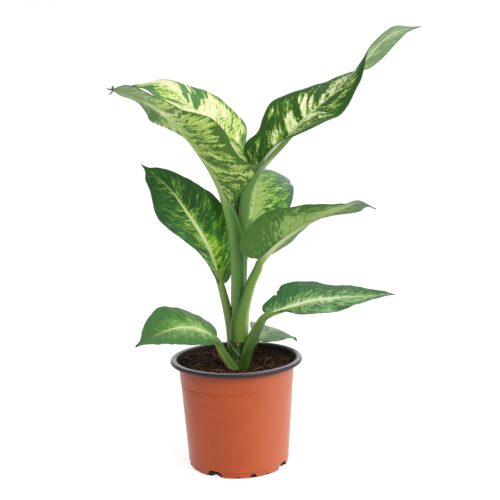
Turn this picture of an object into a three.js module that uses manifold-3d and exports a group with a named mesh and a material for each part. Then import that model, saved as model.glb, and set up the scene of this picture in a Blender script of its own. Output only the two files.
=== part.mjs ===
// Young dieffenbachia in a 12 cm nursery pot: pot, soil, cane and nine leaves.
// Millimetres, +Z up, origin on the pot's axis at the plane it stands on.
import * as THREE from 'three';
import { mergeVertices } from 'three/addons/utils/BufferGeometryUtils.js';
import Module from 'manifold-3d';

const wasm = await Module();
wasm.setup();

// Driving dimensions
const GAP = 0.3;               // clearance between neighbouring solids
const POT_HEIGHT = 101;
const RIM_RADIUS = 60.6;       // outer edge of the rolled rim
const MOUTH_RADIUS = 55.4;     // inner edge of the rim
const WALL_TOP_RADIUS = 53.2;  // outside of the wall under the rim
const WALL_FOOT_RADIUS = 46.6; // outside of the wall above the foot corner
const FOOT_RADIUS = 45.3;      // standing edge
const WALL = 1.2;
const FLOOR = 1.6;
const DRAINS = 8;              // arched drain notches round the foot, small and wide by turns
const DRAIN_FIRST_DEG = 17;    // first small notch, from the front towards +X
const SMALL_DRAIN = [6.4, 4.2, 1.6]; // width, height and depth into the foot
const WIDE_DRAIN = [14, 6, 5];       // opens through the foot ring
const DRAIN_SLOT = [4.6, 1.8, 1.6];  // shallow slots between the notches
const RECESS = 4.6;                  // height of the channel under the floor, behind the foot ring
const PANEL_RADIUS = 26;             // middle of the floor, which stands on the ground
const SOIL_LEVEL = 91;         // round the cane
const SOIL_RISE = 5.8;         // up to the wall, higher at the left back
const SOIL_RELIEF = 1.2;
const CANE_RADIUS = 8;
const CANE_X = 1;              // the cane stands a little off the pot's axis
const CANE_TOP = 116;          // the collar where the leaf sheaths begin
const CANE_FOOT = 62;
const BLADE = 0.8;             // blade thickness
const BLADE_STEPS = 15;        // along the midrib
const BLADE_RIBS = 6;          // across, even
const STALK_SIDES = 8;
const RIB_END = 0.7;           // radius where the midrib runs out near the tip

// Leaves, oldest last. midrib: centre line from the sheath's foot over the petiole to the
// tip; bladeFrom: the point where the blade begins; across: towards the right half, seen on
// the upper face with the tip up; left, right: how many degrees each half is raised at
// even stations from base to tip; bend: how far a half curls further on its way out;
// twist: turn of the blade about the midrib; span: wider or narrower halves at stations;
// ripple: height, count and start of the margin's waves; stalk: radii of the petiole from
// its foot to the blade.
const LEAVES = {
  right_top: {
    midrib: [[3, 3, 112], [4, 4, 150], [6, 4, 200], [13, 2, 245], [23, 0, 270], [48, 2, 296],
      [70, 6, 319], [94, 12, 338], [118, 18, 362], [145, 26, 388], [173, 32, 397]],
    bladeFrom: 4, across: [0.54, -0.7, -0.44], halfWidth: 34, widest: 0.36,
    left: [25, 25, 20, 0, -12, -5, 0, 0, 0], right: [60, 62, 40, 20, 22, 8, 0, 0, 0],
    leftSpan: [1, 1, 0.95, 0.92, 1, 1, 0.9, 0.8, 0.8],
    rightSpan: [1, 1, 1.08, 0.9, 0.77, 0.78, 0.75, 0.7, 0.8], twist: [0, 0, 5, 90, 170],
    ripple: [1, 3, 0], stalk: [3.6, 3.8, 4.6, 4.9, 3.6],
  },
  back_top: {
    midrib: [[0, 7, 112], [0, 9, 150], [2, 10, 205], [6, 11, 245], [7, 12, 264], [-2, 16, 291],
      [-20, 24, 313], [-39, 32, 333], [-62, 40, 351], [-92, 44, 350]],
    bladeFrom: 4, across: [0.53, 0.51, 0.33], halfWidth: 38, widest: 0.4,
    left: [40, 35, 35, 12, -5], right: [-30, -2, -8, -22, 0], stalk: [3.5, 3.5, 3.6, 3.6, 3.2],
  },
  left_top: {
    midrib: [[2, -2, 112], [2, -3, 160], [0, -4, 208], [-5, -11, 239], [-16, -20, 269],
      [-36, -34, 301], [-55, -48, 322], [-74, -60, 336], [-94, -70, 344]],
    bladeFrom: 3, across: [-0.6, 0.7, -0.4], halfWidth: 42, widest: 0.36,
    left: [0, -5, -15, -30, -35, -33, -25, -8, 10],
    leftBend: [40, 40, 50, 50, 30, 20, 10, 5, 0],
    leftSpan: [0.3, 0.85, 1.25, 0.92, 0.85, 0.97, 1.05, 1.07, 1.08, 1.04, 1, 1.08, 1.2, 1.36, 1.5, 1.56, 1.6],
    right: [130, 125, 90, 42, 20, 18, 25, 20, 15], rightBend: [40, 40, 20, 0, 0, 0, 0, 0, 0],
    rightSpan: [0.2, 0.85, 0.92, 0.85, 0.76, 0.57, 0.6, 0.98, 1.2],
    sweep: [0.1, 0.5], rightSweep: [0.1, 0.2], ripple: [1, 3, 0], stalk: [4.5, 5.4, 6.4, 4],
  },
  back_mid: {
    midrib: [[3, 6, 112], [4, 12, 150], [9, 19, 186], [15, 28, 212], [20, 38, 237],
      [23, 54, 256], [27, 74, 266], [31, 94, 266], [35, 112, 259], [39, 128, 249]],
    bladeFrom: 3, across: [1, -0.1, 0], halfWidth: 38, widest: 0.4,
    left: [10, 5, -20, -20, -10], right: [10, 12, 12, 12, 8, 0, -5, -10, -10],
    rightBend: [0, -5, -35, -65, -75, -65, -40, -20, -10],
    rightSpan: [1, 1.1, 1.02, 0.9, 0.92, 1, 1.05, 1.2, 1], stalk: [4, 3.8, 3.4, 3],
  },
  right_mid: {
    midrib: [[3, -1, 115], [4, -3, 133], [9, -9, 151], [15, -12, 170], [22, -15, 185],
      [27, -18, 194], [41, -26, 206], [60, -36, 219], [77, -45, 232], [95, -52, 240],
      [109, -57, 245], [122, -62, 240]],
    bladeFrom: 5, across: [-0.4, -0.6, 0.45], halfWidth: 36, widest: 0.3,
    left: [30, 25, 28, 33, 24, 10, 6, 5, 5], leftBend: 10,
    right: [30, 25, 20, 0, -18, -28, -30, -20, -10], rightBend: 10,
    rightSpan: [1.2, 1.12, 0.98, 0.88, 0.98, 1, 0.85, 0.8, 1], rightSweep: [-0.4, 0.5],
    ripple: [1, 3, 0], stalk: [8.6, 8.4, 5.6, 4.6, 4, 3.4],
  },
  left_mid: {
    midrib: [[-2, 5, 106], [-5, 9, 131], [-13, 16, 166], [-25, 24, 201], [-42, 32, 230],
      [-60, 37, 255], [-80, 38, 275]],
    bladeFrom: 2, across: [0.7, 0.5, 0.45], halfWidth: 33, widest: 0.45,
    left: [50, 55, 45, 30, 22, 20, 18, 14, 10], right: [-15, -5, 0, -5, -5],
    leftSpan: [0.4, 0.6, 0.95, 1, 0.95, 0.93, 0.95, 0.97, 1], ripple: [1, 2.5, 0.2],
    stalk: [6, 4.6, 3.4],
  },
  right_low: {
    midrib: [[8, -6, 93.5], [13, -9, 113], [22, -9, 131], [29, -8, 140], [50, -8, 147],
      [73, -8, 153], [96, -8, 155], [119, -6, 155], [143, -4, 157]],
    bladeFrom: 3, across: [0, -0.9, -0.4], halfWidth: 25, widest: 0.35,
    left: [45, 40, 30, 12, 5, 8, 15, 18, 20], right: [100, 90, 20, 12, 12, 18, 25, 32, 40],
    rightSpan: [0.5, 0.6, 0.85, 0.95, 1, 1, 1, 1, 1], leftSweep: [-0.4, 0.5],
    ripple: [1, 3, 0.3], stalk: [5.6, 5.2, 4.4, 3.2],
  },
  left_front_low: {
    midrib: [[-2, -8, 95], [-9, -10, 103], [-17, -14, 120], [-32, -22, 132], [-50, -28, 135],
      [-68, -34, 131], [-88, -38, 121]],
    bladeFrom: 2, across: [0.1, 0.95, 0.3], halfWidth: 27, widest: 0.45, tipSharp: 1,
    left: [80, 60, 20, 8, 8, 9, 10, 18, 25], right: [5, 5, 25, 30, 35],
    leftSpan: [1.2, 1, 1, 1, 1], leftSweep: [-0.6, 0.5], ripple: [1, 2, 0.3],
    stalk: [5.2, 4.8, 3.2],
  },
  right_back_low: {
    midrib: [[6, 6, 96], [13, 18, 103], [20, 28, 109], [30, 40, 113], [39, 50, 114],
      [49, 60, 107], [59, 66, 99]],
    bladeFrom: 2, across: [0.7, -0.7, 0.1], halfWidth: 22, widest: 0.4,
    left: [90, 35, 12, 20, 10], right: [-5, -12, -20, -15, -20], stalk: [4, 3.2, 2.6],
  },
};

const MATERIALS = {
  terracotta: { color: 0xc4603c, roughness: 0.55, metalness: 0 },
  soil: { color: 0x2a1c14, roughness: 0.95, metalness: 0 },
  cane: { color: 0x3d5a26, roughness: 0.6, metalness: 0 },
  leaf: { color: 0x4c7a35, roughness: 0.45, metalness: 0 },
};

const part = new THREE.Group();

function place(name, geometry, material) {
  const mesh = new THREE.Mesh(geometry, new THREE.MeshStandardMaterial(MATERIALS[material]));
  mesh.name = name;
  part.add(mesh);
}

// Solids for cutting and joining
function solid(geometry) {
  const g = geometry.clone();
  for (const name of Object.keys(g.attributes)) if (name !== 'position') g.deleteAttribute(name);
  const merged = mergeVertices(g, 1e-4);
  return new wasm.Manifold(new wasm.Mesh({
    numProp: 3,
    vertProperties: new Float32Array(merged.attributes.position.array),
    triVerts: new Uint32Array(merged.index.array),
  }));
}

function geometryOf(manifold) {
  const { vertProperties, triVerts } = manifold.getMesh();
  const g = new THREE.BufferGeometry();
  g.setAttribute('position', new THREE.BufferAttribute(new Float32Array(vertProperties), 3));
  g.setIndex(new THREE.BufferAttribute(new Uint32Array(triVerts), 1));
  return g;
}

function largest(manifold) {
  return manifold.decompose().reduce((a, b) => (b.volume() > a.volume() ? b : a));
}

// Value at s (0 to 1) on a smooth curve through evenly spaced stations
function station(values, s) {
  if (!Array.isArray(values)) return values;
  const points = values.map((v, i) => new THREE.Vector3(i, v, 0));
  return new THREE.CatmullRomCurve3(points, false, 'catmullrom', 0.5).getPoint(s).y;
}

// Share of the half width at s: round towards the base, drawn out towards the tip
function outline(s, widest, tipSharp) {
  if (s < widest) return Math.sqrt(1 - ((widest - s) / widest) ** 2.3);
  return (1 - ((s - widest) / (1 - widest)) ** 1.6) ** tipSharp;
}

function midribOf(leaf) {
  const points = leaf.midrib.map((p) => new THREE.Vector3(...p));
  return new THREE.CatmullRomCurve3(points, false, 'catmullrom', 0.5);
}

// Place, direction along, direction across and upper normal on the midrib at t; s is the
// share along the blade
function frameAt(leaf, curve, t, s) {
  const mid = curve.getPoint(t);
  const along = curve.getPoint(Math.min(t + 1e-3, 1))
    .sub(curve.getPoint(Math.max(t - 1e-3, 0))).normalize();
  const across = new THREE.Vector3(...leaf.across);
  across.addScaledVector(along, -across.dot(along)).normalize();
  const turn = THREE.MathUtils.degToRad(s > 0 ? station(leaf.twist ?? 0, s) : 0);
  across.applyAxisAngle(along, -turn);
  const up = new THREE.Vector3().crossVectors(across, along);
  return { mid, along, across, up };
}

// Point of the blade's middle surface: s from base to tip, v from -1 (left) to 1 (right)
function bladePoint(leaf, curve, s, v) {
  const t0 = leaf.bladeFrom / (leaf.midrib.length - 1);
  const { mid, along, across, up } = frameAt(leaf, curve, t0 + (1 - t0) * s, s);
  if (v === 0) return mid;
  const m = Math.abs(v);
  const side = Math.sign(v);
  const raise = THREE.MathUtils.degToRad(station(side < 0 ? leaf.left : leaf.right, s));
  const bent = station((side < 0 ? leaf.leftBend : leaf.rightBend) ?? -15, s);
  const bend = THREE.MathUtils.degToRad(Math.abs(bent) < 0.1 ? 0.1 : bent);
  const span = station((side < 0 ? leaf.leftSpan : leaf.rightSpan) ?? 1, s);
  const width = leaf.halfWidth * span * outline(s, leaf.widest, leaf.tipSharp ?? 1.2);
  const end = raise + bend * m;
  const out = (width / bend) * (Math.sin(end) - Math.sin(raise));
  const lift = (width / bend) * (Math.cos(raise) - Math.cos(end));
  const [back, forth] = (side < 0 ? leaf.leftSweep : leaf.rightSweep) ?? leaf.sweep ?? [-0.25, 0.5];
  const swept = back + (forth - back) * Math.min(s / 0.5, 1);
  const [height, count, start] = leaf.ripple ?? [0, 3, 0];
  const wave = height * m * m * Math.sin(2 * Math.PI * (count * s + start + (side < 0 ? 0.35 : 0)))
    * Math.min(width / leaf.halfWidth, 1);
  return mid.clone()
    .addScaledVector(across, side * (out - wave * Math.sin(end)))
    .addScaledVector(up, lift + wave * Math.cos(end))
    .addScaledVector(along, swept * width * m * m);
}

// Share along the blade of its row i, short of both ends, where it has no width
const rowAt = (i) => 0.015 + (0.985 - 0.015) * (i / BLADE_STEPS);

// Closed thin solid on the blade's middle surface, split alike on both faces
function bladeGeometry(leaf, curve, thickness) {
  const cols = BLADE_RIBS + 1;
  const rows = BLADE_STEPS + 1;
  const at = (i, j) => bladePoint(leaf, curve, rowAt(i), (2 * j) / BLADE_RIBS - 1);
  const grid = Array.from({ length: rows }, (_, i) => Array.from({ length: cols }, (_, j) => at(i, j)));
  const position = [];
  for (const face of [1, -1]) {
    for (let i = 0; i < rows; i++) {
      for (let j = 0; j < cols; j++) {
        const ds = grid[Math.min(i + 1, rows - 1)][j].clone().sub(grid[Math.max(i - 1, 0)][j]);
        const dv = grid[i][Math.min(j + 1, cols - 1)].clone().sub(grid[i][Math.max(j - 1, 0)]);
        const normal = dv.cross(ds).normalize();
        position.push(...grid[i][j].clone().addScaledVector(normal, (face * thickness) / 2));
      }
    }
  }
  const index = [];
  const id = (i, j) => i * cols + j;
  const low = rows * cols;
  const quad = (a, b, c, d) => index.push(a, b, c, a, c, d);
  for (let i = 0; i < rows - 1; i++) {
    for (let j = 0; j < cols - 1; j++) {
      const [a, b, c, d] = [id(i, j), id(i, j + 1), id(i + 1, j + 1), id(i + 1, j)];
      quad(a, b, c, d);
      index.push(low + a, low + c, low + b, low + a, low + d, low + c);
    }
    quad(id(i + 1, 0), low + id(i + 1, 0), low + id(i, 0), id(i, 0));
    quad(id(i, cols - 1), low + id(i, cols - 1), low + id(i + 1, cols - 1), id(i + 1, cols - 1));
  }
  for (let j = 0; j < cols - 1; j++) {
    quad(id(0, j), low + id(0, j), low + id(0, j + 1), id(0, j + 1));
    quad(id(rows - 1, j + 1), low + id(rows - 1, j + 1), low + id(rows - 1, j), id(rows - 1, j));
  }
  const g = new THREE.BufferGeometry();
  g.setAttribute('position', new THREE.Float32BufferAttribute(position, 3));
  g.setIndex(index);
  return g;
}

// Petiole and midrib: one tapering rod along the centre line, under the blade past its base
function stalkGeometry(leaf, curve, extra) {
  const t0 = leaf.bladeFrom / (leaf.midrib.length - 1);
  const rings = [];
  const petioleSteps = 2 * leaf.bladeFrom;
  for (let i = 0; i <= petioleSteps; i++) {
    const u = i / petioleSteps;
    const { mid, across, up } = frameAt(leaf, curve, t0 * u, 0);
    rings.push({ mid, across, up, r: station(leaf.stalk, u) + extra });
  }
  const root = leaf.stalk[leaf.stalk.length - 1];
  const ribSteps = BLADE_STEPS - 2;
  for (let i = 1; i <= ribSteps; i++) {
    const s = rowAt(i);
    const { mid, across, up } = frameAt(leaf, curve, t0 + (1 - t0) * s, s);
    const r = RIB_END + (root - RIB_END) * (1 - i / ribSteps) ** 1.5;
    mid.addScaledVector(up, (0.15 - r) * Math.min(1, i / 3));
    rings.push({ mid, across, up, r: r + extra });
  }
  const position = [];
  for (const { mid, across, up, r } of rings) {
    for (let k = 0; k < STALK_SIDES; k++) {
      const a = (2 * Math.PI * k) / STALK_SIDES;
      position.push(...mid.clone().addScaledVector(across, r * Math.cos(a)).addScaledVector(up, r * Math.sin(a)));
    }
  }
  const index = [];
  for (let i = 0; i < rings.length - 1; i++) {
    for (let k = 0; k < STALK_SIDES; k++) {
      const [a, b] = [i * STALK_SIDES + k, i * STALK_SIDES + ((k + 1) % STALK_SIDES)];
      const [c, d] = [b + STALK_SIDES, a + STALK_SIDES];
      index.push(a, c, b, a, d, c);
    }
  }
  const last = (rings.length - 1) * STALK_SIDES;
  for (let k = 1; k < STALK_SIDES - 1; k++) {
    index.push(0, k, k + 1, last, last + k + 1, last + k);
  }
  const g = new THREE.BufferGeometry();
  g.setAttribute('position', new THREE.Float32BufferAttribute(position, 3));
  g.setIndex(index);
  return g;
}

function leafSolid(leaf, extra) {
  const curve = midribOf(leaf);
  const blade = solid(bladeGeometry(leaf, curve, BLADE + 2 * extra));
  return blade.add(solid(stalkGeometry(leaf, curve, extra)));
}

// Pot: outside up to the rolled rim, then down the inside; drain notches cut in the foot
function lathe(profile, segments) {
  const g = new THREE.LatheGeometry(profile.map(([r, z]) => new THREE.Vector2(r, z)), segments);
  return g.rotateX(Math.PI / 2);
}

function potSolid() {
  const underRim = POT_HEIGHT - 4.5;
  const pot = solid(lathe([
    [0, 0], [PANEL_RADIUS, 0], [PANEL_RADIUS + 3, RECESS], [FOOT_RADIUS - 4.4, RECESS],
    [FOOT_RADIUS - 3.6, 0], [FOOT_RADIUS - 0.8, 0], [FOOT_RADIUS, 0.8], [WALL_FOOT_RADIUS, 5],
    [WALL_TOP_RADIUS, underRim], [RIM_RADIUS - 2, underRim], [RIM_RADIUS, underRim + 1.5],
    [RIM_RADIUS - 0.6, POT_HEIGHT - 0.8], [RIM_RADIUS - 2.5, POT_HEIGHT],
    [MOUTH_RADIUS + 0.6, POT_HEIGHT - 0.6], [MOUTH_RADIUS - 1.2, POT_HEIGHT - 3],
    [WALL_TOP_RADIUS - WALL, underRim - 1], [WALL_FOOT_RADIUS - WALL, RECESS + 4],
    [FOOT_RADIUS - 1.5, RECESS + FLOOR], [PANEL_RADIUS + 2.2, RECESS + FLOOR],
    [PANEL_RADIUS - 0.8, FLOOR], [0, FLOOR],
  ], 48));
  let cut = pot;
  for (let i = 0; i < 2 * DRAINS; i++) {
    const [width, height, inward] = i % 2 ? DRAIN_SLOT : i % 4 ? WIDE_DRAIN : SMALL_DRAIN;
    const half = width / 2;
    const arch = new THREE.Shape([[-half, -1], [half, -1], [half, height * 0.4], [half * 0.45, height],
      [-half * 0.45, height], [-half, height * 0.4]].map(([x, z]) => new THREE.Vector2(x, z)));
    const cutter = new THREE.ExtrudeGeometry(arch, { depth: inward + 4, bevelEnabled: false });
    cutter.rotateX(Math.PI / 2).translate(0, -(FOOT_RADIUS - inward), 0);
    cutter.rotateZ(THREE.MathUtils.degToRad(DRAIN_FIRST_DEG + (180 / DRAINS) * i));
    cut = cut.subtract(solid(cutter));
  }
  return cut;
}

// Soil: fills the pot, with a shallow dish and low relief on top, flat round the cane
function soilTop(x, y) {
  const r = Math.hypot(x, y);
  const dish = THREE.MathUtils.smoothstep(r, 15, 48) * (SOIL_RISE + 1.2 * Math.cos(Math.atan2(y, x) - 2.4));
  const relief = 0.5 * Math.sin(x / 7 + 1) * Math.cos(y / 6) + 0.35 * Math.sin((x + y) / 4.3)
    + 0.15 * Math.cos((x - 2 * y) / 5);
  return SOIL_LEVEL + dish + SOIL_RELIEF * THREE.MathUtils.smoothstep(r, 14, 24) * relief
    - THREE.MathUtils.smoothstep(r, 50, 51.4);
}

function soilSolid() {
  const inner = (z) => WALL_FOOT_RADIUS - WALL
    + ((z - 5.5) / (POT_HEIGHT - 11)) * (WALL_TOP_RADIUS - WALL_FOOT_RADIUS) - GAP - 0.1;
  const top = [];
  for (const r of [51.4, 50, 44, 37, 30, 23, 16, 9]) top.push([r, SOIL_LEVEL]);
  const g = lathe([[0, FLOOR + GAP], [PANEL_RADIUS - 1.3, FLOOR + GAP],
    [PANEL_RADIUS + 1.8, RECESS + FLOOR + GAP], [FOOT_RADIUS - 3.5, RECESS + FLOOR + GAP], [inner(8), 10],
    [inner(SOIL_LEVEL - 1.5), SOIL_LEVEL - 1.5], ...top, [0, SOIL_LEVEL]], 40);
  const p = g.attributes.position;
  for (let i = 0; i < p.count; i++) {
    if (p.getZ(i) > SOIL_LEVEL - 0.5) p.setZ(i, soilTop(p.getX(i), p.getY(i)));
  }
  return solid(g);
}

function caneSolid(extra) {
  const r = CANE_RADIUS + extra;
  const bottom = CANE_FOOT - extra;
  const g = lathe([[0, bottom], [r - 1, bottom], [r, bottom + 2], [r, SOIL_LEVEL + 6],
    [r - 0.5, SOIL_LEVEL + 8], [r - 0.2, SOIL_LEVEL + 16], [r - 0.7, SOIL_LEVEL + 18],
    [r - 0.4, CANE_TOP + extra], [0, CANE_TOP + extra]], 24);
  return solid(g.translate(CANE_X, 0, 0));
}

place('pot', geometryOf(potSolid()), 'terracotta');
place('soil', geometryOf(soilSolid().subtract(caneSolid(GAP))), 'soil');
place('cane', geometryOf(caneSolid(0)), 'cane');

// Younger leaves stand inside, and each older sheath is grooved to fit round them
let inside = caneSolid(GAP);
for (const [name, leaf] of Object.entries(LEAVES)) {
  place(`leaf_${name}`, geometryOf(largest(leafSolid(leaf, 0).subtract(inside))), 'leaf');
  inside = inside.add(leafSolid(leaf, GAP)).add(leafSolid(leaf, 0));
}

export default part;
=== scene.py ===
import math
import random
import bpy
import numpy as np
from mathutils import Matrix, Vector


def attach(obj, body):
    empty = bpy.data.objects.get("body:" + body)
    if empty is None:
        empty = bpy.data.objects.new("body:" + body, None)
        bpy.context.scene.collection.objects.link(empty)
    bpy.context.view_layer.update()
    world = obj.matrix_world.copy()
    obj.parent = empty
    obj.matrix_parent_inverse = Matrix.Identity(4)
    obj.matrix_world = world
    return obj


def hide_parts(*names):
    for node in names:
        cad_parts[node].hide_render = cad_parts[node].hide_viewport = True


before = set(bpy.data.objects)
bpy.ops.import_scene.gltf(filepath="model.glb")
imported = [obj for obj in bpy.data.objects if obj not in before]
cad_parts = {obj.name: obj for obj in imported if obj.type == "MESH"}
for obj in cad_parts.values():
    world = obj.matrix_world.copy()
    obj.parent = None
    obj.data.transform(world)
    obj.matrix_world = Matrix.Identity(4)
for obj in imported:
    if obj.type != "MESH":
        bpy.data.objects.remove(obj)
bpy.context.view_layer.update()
random.seed(12)

MM = 0.001

# Pot, in millimetres
POT_HEIGHT = 101
RIM_RADIUS = 60.6
MOUTH_RADIUS = 55.4
WALL_TOP_RADIUS = 53.2
WALL_FOOT_RADIUS = 46.6
FOOT_RADIUS = 45.3
WALL = 1.2
FLOOR = 1.6
RECESS = 3.0
PANEL_RADIUS = 26
LEDGE = 80
GROOVE = 0.62
BEAD = 2.1
NECK = 92
DENT = 0.004
DRAINS = 8
DRAIN_FIRST_DEG = 17
SOIL_LEVEL = 91
SOIL_RISE = 5.8
SOIL_RADIUS = 51.2
SOIL_FOOT = 8
CRUMB = 1.5
CRUMBS = 380
BARK_BITS = 170

# Cane
CANE_RADIUS = 8
CANE_X = 1
CANE_TOP = 116
CANE_FOOT = 62
SCAR = 98.5
SHEATH_EDGE = 107.5

# Blades and stalks
BLADE = 0.7
VEINS = 17
VEIN_LEAN = 0.1
VEIN_RELIEF = 0.16
RUFFLE = 0.35
CHANNEL = 0.35
CHANNEL_WIDE = 2.2
RIB_END = 0.5
RIB_REACH = 0.93
BLADE_ACROSS = 56
BLADE_ALONG = 150
STALK_ROUND = 28
STALK_ALONG = 110
SMOOTH_DEG = 60

# Leaves, in millimetres and degrees
# midrib: line from the sheath's foot over the petiole to the tip; the blade begins at blade_from
# across: towards the right half; left, right: how far each half is raised, from base to tip
# bend: how far a half curls; span: share of its width; sweep: how far its margin runs ahead
# ripple: height, count and start of the margin's waves; tears: side, place and depth
LEAVES = {
    "right_top": dict(
        midrib=[(3, 3, 112), (6, 4, 150), (8.5, 4, 200), (12, 2, 245), (23, 0, 270), (48, 2, 296),
                (70, 6, 319), (94, 12, 338), (118, 18, 362), (145, 26, 388), (177, 33, 397)],
        blade_from=4, across=(0.54, -0.7, -0.44), half_width=34, widest=0.36,
        left=[25, 25, 20, 0, -12, -5, 0, 0, 0], right=[60, 62, 40, 20, 22, 8, 0, 0, 0],
        left_span=[1.1, 1.25, 0.98, 1.06, 1.12, 1.02, 0.93, 0.96, 1, 1, 1, 0.95, 0.9, 0.85, 0.8, 0.5, 0.4],
        right_span=[1, 1, 1, 1.05, 1.08, 1, 0.9, 0.82, 0.77, 0.78, 0.74, 0.62, 0.42, 0.45, 0.7, 0.6, 0.5],
        twist=[0, 0, 5, 90, 170], ripple=(1, 3, 0), stalk=[3.6, 4.2, 4.8, 4.9, 4.3]),
    "back_top": dict(
        midrib=[(0, 7, 112), (0, 9, 150), (2, 10, 205), (6, 11, 245), (7, 12, 264), (-2, 16, 291),
                (-20, 24, 313), (-39, 32, 333), (-62, 40, 351), (-92, 44, 350)],
        blade_from=4, across=(0.53, 0.51, 0.33), half_width=38, widest=0.4, left=[40, 35, 35, 12, -5],
        right=[-30, -2, -8, -22, 0],
        right_span=[0.5, 0.5, 0.55, 0.72, 0.98, 1, 1, 1, 1, 1, 1, 1, 1, 1, 1, 1, 1],
        stalk=[3.5, 3.5, 3.6, 3.6, 3.2]),
    "left_top": dict(
        midrib=[(2, -2, 112), (3.5, -3, 160), (3, -4, 208), (-3.5, -11, 239), (-16, -20, 269),
                (-36, -34, 301), (-55, -48, 322), (-74, -60, 336), (-94, -70, 344)],
        blade_from=3, across=(-0.6, 0.7, -0.4), half_width=42, widest=0.36,
        left=[0, -5, -15, -30, -35, -33, -25, -8, 10], left_bend=[40, 40, 50, 50, 30, 20, 10, 5, 0],
        left_span=[0.3, 0.85, 1.25, 0.92, 0.85, 0.97, 1.05, 1.07, 1.08, 1.04, 1, 1.08, 1.2, 1.36, 1.5, 1.56,
                   1.6],
        right=[130, 125, 90, 42, 20, 18, 25, 20, 15], right_bend=[40, 40, 20, 0, 0, 0, 0, 0, 0],
        right_span=[0.2, 0.85, 0.92, 0.85, 0.76, 0.57, 0.6, 0.98, 1.2], sweep=(0.1, 0.5),
        right_sweep=(0.1, 0.2), lean=-0.18, rib_taper=6, ripple=(1, 3, 0), stalk=[4.5, 5.8, 6.9, 5]),
    "back_mid": dict(
        midrib=[(3, 6, 112), (4, 12, 150), (9, 19, 186), (15, 28, 212), (20, 38, 237), (23, 54, 256),
                (27, 74, 266), (31, 94, 266), (35, 112, 259), (39, 128, 249)],
        blade_from=3, across=(1, -0.1, 0), half_width=38, widest=0.4, left=[10, 5, -20, -20, -10],
        right=[10, 12, 12, 12, 8, 0, -5, -10, -10], right_bend=[0, -5, -35, -65, -75, -65, -40, -20, -10],
        right_span=[1, 1.1, 1.02, 0.9, 0.92, 1, 1.05, 1.2, 1], stalk=[4, 3.8, 3.4, 3]),
    "right_mid": dict(
        midrib=[(3, -1, 115), (4, -3, 133), (9, -9, 151), (15, -12, 170), (22, -15, 185), (25, -18, 192),
                (40, -26, 208.5), (59, -36, 223), (77, -45, 233), (95, -52, 240), (109, -57, 245),
                (122, -62, 240)],
        blade_from=5, across=(-0.4, -0.6, 0.45), half_width=36, widest=0.3,
        left=[30, 25, 28, 33, 24, 10, 6, 5, 5], left_bend=10, right=[25, 25, 20, 0, -18, -28, -30, -20, -10],
        right_bend=10, left_span=[1, 1.1, 1, 1.12, 1.05, 0.9, 0.9, 0.9, 1],
        right_span=[1.2, 0.95, 0.86, 0.76, 0.88, 1.06, 0.8, 0.8, 1], right_sweep=(-0.4, 0.5),
        ripple=(1, 3, 0), rib_taper=2.2, stalk=[8.6, 8.4, 5.6, 4.6, 4, 3.4]),
    "left_mid": dict(
        midrib=[(-2, 5, 106), (-5, 9, 131), (-13, 16, 166), (-25, 24, 201), (-42, 32, 230), (-60, 37, 255),
                (-86, 38.5, 278.5)],
        blade_from=2, across=(0.7, 0.5, 0.45), half_width=33, widest=0.45,
        left=[50, 55, 45, 30, 22, 20, 18, 14, 10], right=[-15, -5, 0, -5, -5],
        left_span=[0.4, 0.5, 0.6, 0.78, 0.95, 0.98, 1, 0.98, 0.95, 0.94, 0.93, 0.94, 0.95, 0.98, 1.02, 0.6,
                   0.3],
        right_span=[0.95, 0.95, 0.95, 1.02, 1.1, 1.12, 1.14, 1.05, 0.95, 0.93, 0.92, 0.92, 0.93, 0.93, 0.9,
                    0.5, 0.3],
        ripple=(1, 2.5, 0.2), stalk=[6, 4.6, 3.4]),
    "right_low": dict(
        midrib=[(5, -4, 84), (12, -9, 112), (21.5, -9, 131), (29, -8, 140), (50, -8, 147), (73, -8, 153),
                (96, -8, 155), (119, -6, 155), (147, -4, 156)],
        blade_from=3, across=(0, -0.9, -0.4), half_width=25, widest=0.35,
        left=[45, 40, 30, 12, 5, 8, 15, 18, 20], right=[30, 25, 18, 12, 12, 18, 25, 32, 40],
        left_span=[1, 0.8, 0.8, 1, 1.06, 1.08, 1.08, 0.96, 0.88, 0.92, 1.05, 1.05, 1.04, 1, 1.1, 1.3, 0.6],
        right_span=[0.4, 0.2, 0.12, 0.45, 0.95, 1, 1, 1, 0.93, 0.96, 0.98, 1, 1, 1, 1.1, 1.1, 0.5],
        left_sweep=(-0.4, 0.5), ripple=(1, 3, 0.3),
        tears=[(-1, 0.145, 0.16), (-1, 0.17, 0.07), (1, 0.8, 0.1)], stalk=[5.4, 5, 4.4, 3.2]),
    "left_front_low": dict(
        midrib=[(2, -6, 84), (-9.5, -10, 103), (-18, -14, 120), (-32, -22, 132), (-50, -28, 135),
                (-68, -34, 131), (-88, -38, 121)],
        blade_from=2, across=(0.1, 0.95, 0.3), half_width=27, widest=0.45, tip_sharp=1,
        left=[45, 30, 15, 8, 8, 9, 10, 18, 25], right=[5, 5, 25, 30, 35],
        left_span=[1.5, 1.1, 0.75, 0.92, 1.06, 1.08, 1.05, 0.98, 0.9, 0.88, 0.9, 0.94, 0.95, 0.95, 0.9, 0.8,
                   0.8],
        right_span=[1.6, 1.3, 1, 1, 1.03, 1.02, 1, 0.99, 0.98, 0.96, 0.95, 0.96, 0.96, 0.9, 0.7, 0.5, 0.8],
        left_sweep=(-0.6, 0.5), right_sweep=(-0.25, 0.5), ripple=(1, 2, 0.3), stalk=[4.8, 4.5, 3.2]),
    "right_back_low": dict(
        midrib=[(6, 6, 96), (13, 18, 103), (20, 28, 109), (30, 40, 113), (39, 50, 114), (49, 60, 107),
                (59, 66, 99)],
        blade_from=2, across=(0.7, -0.7, 0.1), half_width=22, widest=0.4, left=[90, 35, 12, 20, 10],
        right=[-5, -12, -20, -15, -20], left_span=[1, 1, 1, 1, 1, 0.8, 0.3],
        right_span=[1, 1, 1, 1, 1, 0.6, 0.2], rib_taper=4, stalk=[4, 3.2, 2.6]),
}


# Curves and frames

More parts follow.
